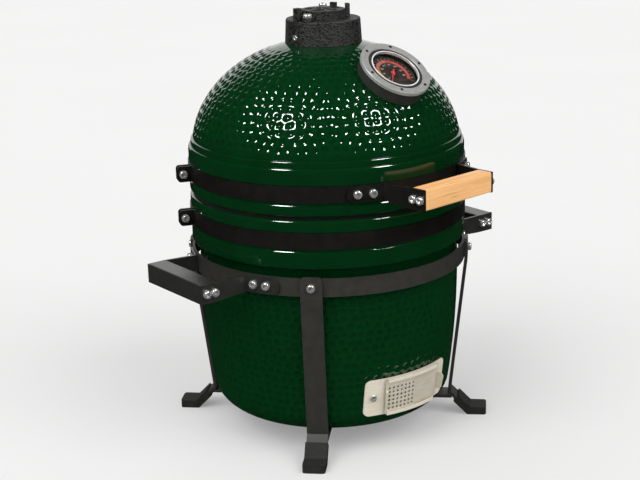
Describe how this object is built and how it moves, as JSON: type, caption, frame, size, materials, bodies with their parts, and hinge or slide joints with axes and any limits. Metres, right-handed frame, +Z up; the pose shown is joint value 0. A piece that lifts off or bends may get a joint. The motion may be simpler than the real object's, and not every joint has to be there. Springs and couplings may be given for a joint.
{
  "type": "ceramic kamado charcoal grill",
  "caption": "Small egg-shaped ceramic charcoal grill with hinged domed lid, top vent, lid thermometer, draft door and a strap-steel stand with carrying handles.",
  "frame": {"origin": "centre of the overall box on the ground the feet stand on", "axes": "+Z up along the pot's axis, -Y towards the lid handle and thermometer, +Y towards the hinge"},
  "size_m": [0.4718, 0.437, 0.5277],
  "materials": {
    "green_glaze": "deep glossy glaze, pebbled below the plain stretch and on the dome",
    "fire_clay": "unglazed refractory",
    "black_steel": "satin powder coat",
    "bright_steel": "bright zinc and stainless fasteners",
    "draft_steel": "fine brushed stainless sheet",
    "bezel_steel": "satin stainless",
    "grate_steel": "polished stainless rod",
    "cast_iron": "sand-cast, matt black",
    "felt": "pressed black felt",
    "bamboo": "oiled laminated bar",
    "foot_rubber": "matt sleeve",
    "dial_face": "printed dial",
    "needle_red": "red paint",
    "gauge_glass": "clear"
  },
  "bodies": {
    "pot_and_stand": {"base_shell": "green_glaze", "firebox": "fire_clay", "fire_ring": "fire_clay", "base_gasket": "felt", "base_band": "black_steel", "base_hinge_strap": "black_steel", "base_band_bolts": "bright_steel", "hinge_pin": "bright_steel", "hinge_nut": "bright_steel", "stand_ring": "black_steel", "leg_bolts": "bright_steel", "left_handle_grip": "black_steel", "left_handle_arm_front": "black_steel", "left_handle_arm_rear": "black_steel", "right_handle_grip": "black_steel", "right_handle_arm_front": "black_steel", "right_handle_arm_rear": "black_steel", "side_handle_bolts": "bright_steel", "draft_frame": "draft_steel", "draft_frame_screws": "bright_steel", "leg_front_left": "black_steel", "foot_cap_front_left": "foot_rubber", "leg_front_right": "black_steel", "foot_cap_front_right": "foot_rubber", "leg_rear_right": "black_steel", "foot_cap_rear_right": "foot_rubber", "leg_rear_left": "black_steel", "foot_cap_rear_left": "foot_rubber"},
    "lid": {"lid_shell": "green_glaze", "lid_skirt": "green_glaze", "lid_crown": "green_glaze", "lid_gasket": "felt", "lid_band": "black_steel", "lid_hinge_strap": "black_steel", "lid_band_bolts": "bright_steel", "lid_handle_grip": "bamboo", "lid_handle_arm_left": "black_steel", "lid_handle_arm_right": "black_steel", "lid_handle_bolts": "bright_steel", "gauge_housing": "black_steel", "gauge_bezel": "bezel_steel", "gauge_bezel_screws": "bright_steel", "gauge_trim_ring": "bezel_steel", "gauge_dial": "dial_face", "gauge_glass": "gauge_glass", "gauge_probe": "bright_steel", "gauge_probe_nut": "bright_steel", "vent_collar": "cast_iron", "vent_collar_screws": "bright_steel", "vent_pivot_screw": "bright_steel"},
    "vent_flap": {"vent_disc": "cast_iron", "vent_wheel_screw": "bright_steel"},
    "vent_daisy": {"vent_wheel": "cast_iron"},
    "needle": {"gauge_needle": "needle_red"},
    "draft_slide_solid": {"draft_door": "draft_steel"},
    "draft_slide_mesh": {"draft_screen": "draft_steel"},
    "cooking_grid": {"cooking_grate": "grate_steel"},
    "coal_grid": {"charcoal_grate": "cast_iron"}
  },
  "joints": [
    {"name": "lid_hinge", "type": "hinge", "parent": "pot_and_stand", "child": "lid", "pos_m": [0, 0.205, 0.303], "axis": [-1, 0, 0], "range_deg": [0, 78]},
    {"name": "vent_flap_swing", "type": "hinge", "parent": "lid", "child": "vent_flap", "pos_m": [-0.03674, -0.01215, 0.5103], "axis": [0, 0, -1], "range_deg": [0, 100]},
    {"name": "vent_wheel_turn", "type": "hinge", "parent": "vent_flap", "child": "vent_daisy", "pos_m": [0, 0, 0.5182], "axis": [0, 0, 1], "range_deg": [0, 36]},
    {"name": "thermometer_needle", "type": "hinge", "parent": "lid", "child": "needle", "pos_m": [0, -0.1172, 0.45457], "axis": [0, 0.5736, -0.8192], "range_deg": [0, 270], "stiffness_Nm_per_rad": 0.0005},
    {"name": "draft_door_slide", "type": "hinge", "parent": "pot_and_stand", "child": "draft_slide_solid", "pos_m": [0, 0, 0.0725], "axis": [0, 0, 1], "range_deg": [-15, 0]},
    {"name": "draft_screen_slide", "type": "hinge", "parent": "pot_and_stand", "child": "draft_slide_mesh", "pos_m": [0, 0, 0.0725], "axis": [0, 0, 1], "range_deg": [0, 15]},
    {"name": "cooking_grate_lift", "type": "slide", "parent": "pot_and_stand", "child": "cooking_grid", "axis": [0, 0, 1], "range_m": [0, 0.06]},
    {"name": "charcoal_grate_lift", "type": "slide", "parent": "pot_and_stand", "child": "coal_grid", "axis": [0, 0, 1], "range_m": [0, 0.05]}
  ]
}
